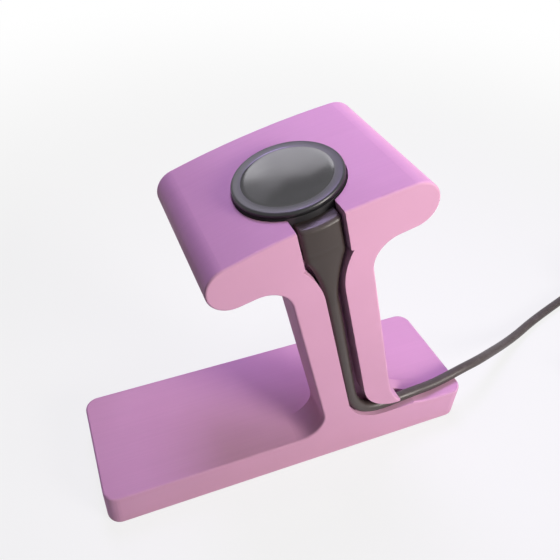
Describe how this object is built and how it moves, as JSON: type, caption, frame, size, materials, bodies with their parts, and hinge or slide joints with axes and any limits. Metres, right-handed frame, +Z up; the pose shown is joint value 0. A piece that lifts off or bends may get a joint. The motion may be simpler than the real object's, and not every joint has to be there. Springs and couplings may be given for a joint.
{
  "type": "smartwatch charging dock",
  "caption": "Leaning stand with a two-armed head that holds a round charging puck, whose cable runs down a slot in the stem and out over the base.",
  "frame": {"origin": "on the table, midway along the base and midway between the head's front and back, below the object without its cord", "axes": "+X along the base towards the side where the cable leaves, +Y from the front face to the back, +Z up"},
  "size_m": [0.2418, 0.059, 0.0966],
  "materials": {
    "stand": "satin lilac, printed in fine layers",
    "puck_black": "gloss black",
    "puck_shell": "fine matte black",
    "pad_rubber": "matt",
    "copper": "enamelled copper wire",
    "ferrite": "matt",
    "magnet": "nickel plated",
    "board": "green solder mask",
    "chip": "matt",
    "capacitor": "satin",
    "lead_red": "satin insulation",
    "lead_black": "satin insulation",
    "neck_rubber": "soft satin, dark grey",
    "cable_rubber": "soft satin, dark grey",
    "tie_fabric": "woven hook-and-loop band",
    "plug_plastic": "satin dark grey",
    "plug_steel": "nickel plated",
    "plug_insulator": "white",
    "contact_gold": "gold plated"
  },
  "bodies": {
    "root": {"dock_stand": "stand", "puck_housing": "puck_shell", "puck_cover": "puck_black", "puck_base_pad": "pad_rubber", "charging_coil": "copper", "ferrite_shield": "ferrite", "alignment_magnet": "magnet", "circuit_board": "board", "controller_chip": "chip", "capacitor_1": "capacitor", "capacitor_2": "capacitor", "power_inductor": "ferrite", "supply_lead_1": "lead_red", "supply_lead_2": "lead_black", "cable_neck": "neck_rubber", "cable": "cable_rubber", "cable_coil": "cable_rubber", "cable_tie": "tie_fabric", "cable_tail": "cable_rubber", "plug_relief": "plug_plastic", "plug_grip": "plug_plastic", "plug_shell": "plug_steel", "plug_tongue": "plug_insulator", "plug_contact_1": "contact_gold", "plug_contact_2": "contact_gold", "plug_contact_3": "contact_gold", "plug_contact_4": "contact_gold"}
  },
  "joints": []
}
